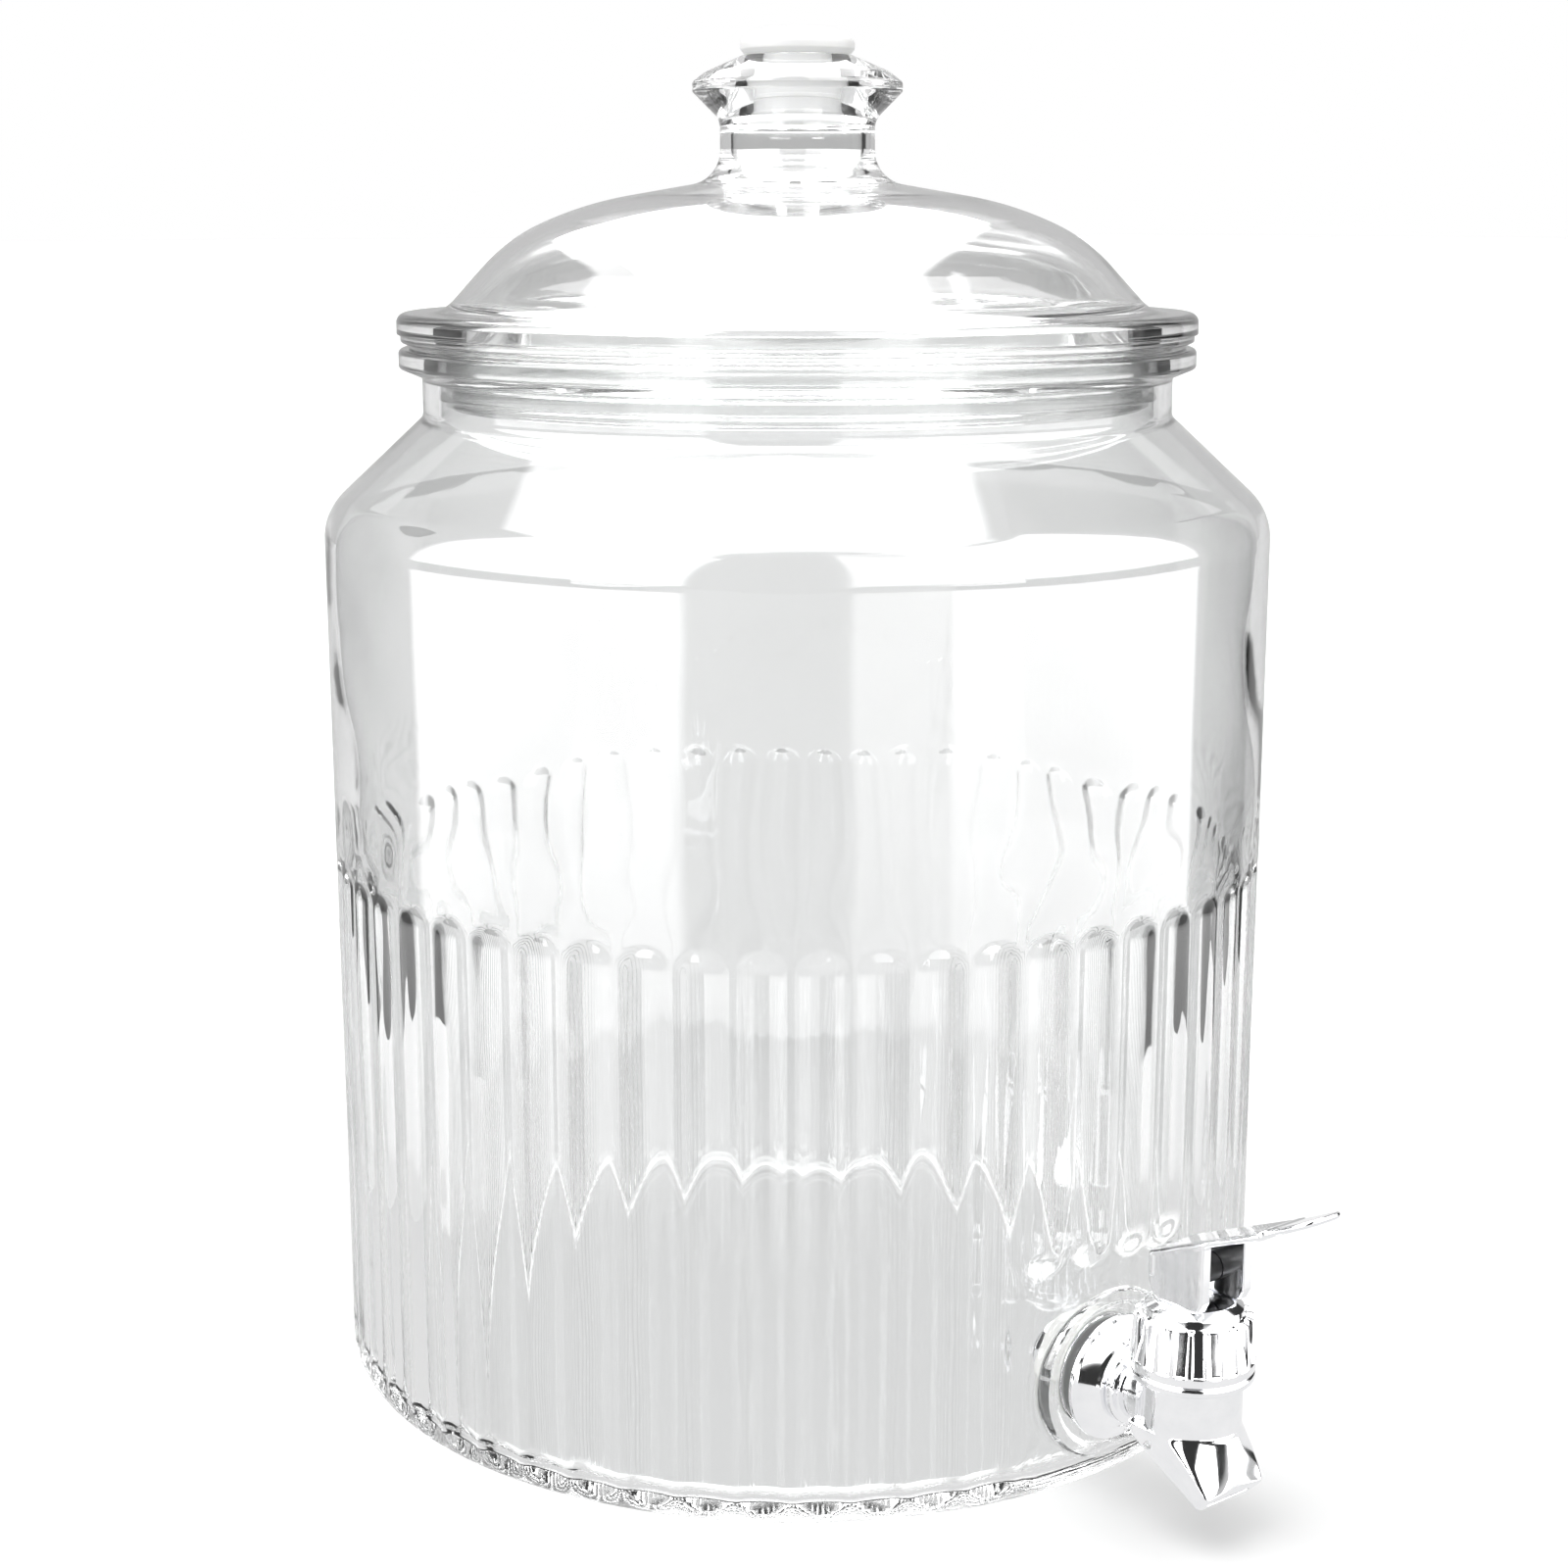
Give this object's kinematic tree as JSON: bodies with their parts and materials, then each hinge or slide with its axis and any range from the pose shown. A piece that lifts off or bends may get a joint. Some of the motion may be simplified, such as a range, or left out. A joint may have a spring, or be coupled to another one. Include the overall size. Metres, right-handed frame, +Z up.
{
  "type": "drink dispenser",
  "caption": "Clear fluted plastic drink jar with a lift-off domed lid, a hollow knob with a stopper, and a chromed push-down lever tap near the base.",
  "frame": {"origin": "middle of the jar's flat base, on the table", "axes": "+Z up along the jar's axis; the tap faces -Y, and the object is the same on both sides of the YZ plane"},
  "size_m": [0.2392, 0.3041, 0.3422],
  "materials": {
    "clear_plastic": "clear, glossy, moulded",
    "clear_silicone": "translucent, satin",
    "white_silicone": "white, satin",
    "white_plastic": "white, satin",
    "black_plastic": "black, satin",
    "chromed_plastic": "bright chrome plating over plastic",
    "spring_steel": "drawn wire"
  },
  "bodies": {
    "jar": {"jar": "clear_plastic", "tap_body": "chromed_plastic", "wall_flange": "chromed_plastic", "outer_washer": "clear_silicone", "inner_washer": "clear_silicone", "lock_nut": "white_plastic", "bonnet": "chromed_plastic"},
    "lid": {"lid": "clear_plastic", "lid_seal": "clear_silicone"},
    "stopper": {"knob_stopper": "white_silicone"},
    "stem": {"stem": "black_plastic", "spring_collar": "black_plastic", "stem_spring": "spring_steel", "seat_cup": "clear_silicone"},
    "lever": {"lever": "chromed_plastic"}
  },
  "joints": [
    {"name": "lid_lift", "type": "slide", "parent": "jar", "child": "lid", "axis": [0, 0, 1], "range_m": [0, 0.15]},
    {"name": "stopper_pull", "type": "slide", "parent": "lid", "child": "stopper", "axis": [0, 0, 1], "range_m": [0, 0.04]},
    {"name": "stem_lift", "type": "slide", "parent": "jar", "child": "stem", "axis": [0, 0, 1], "range_m": [0, 0.0025], "deforming": ["stem_spring", "seat_cup"]},
    {"name": "lever_press", "type": "hinge", "parent": "stem", "child": "lever", "pos_m": [0, -0.1463, 0.06295], "axis": [1, 0, 0], "range_deg": [0, 25]}
  ],
  "couplings": [
    {"joint": "stem_lift", "follows": "lever_press", "m_per_rad": 0.0056}
  ]
}
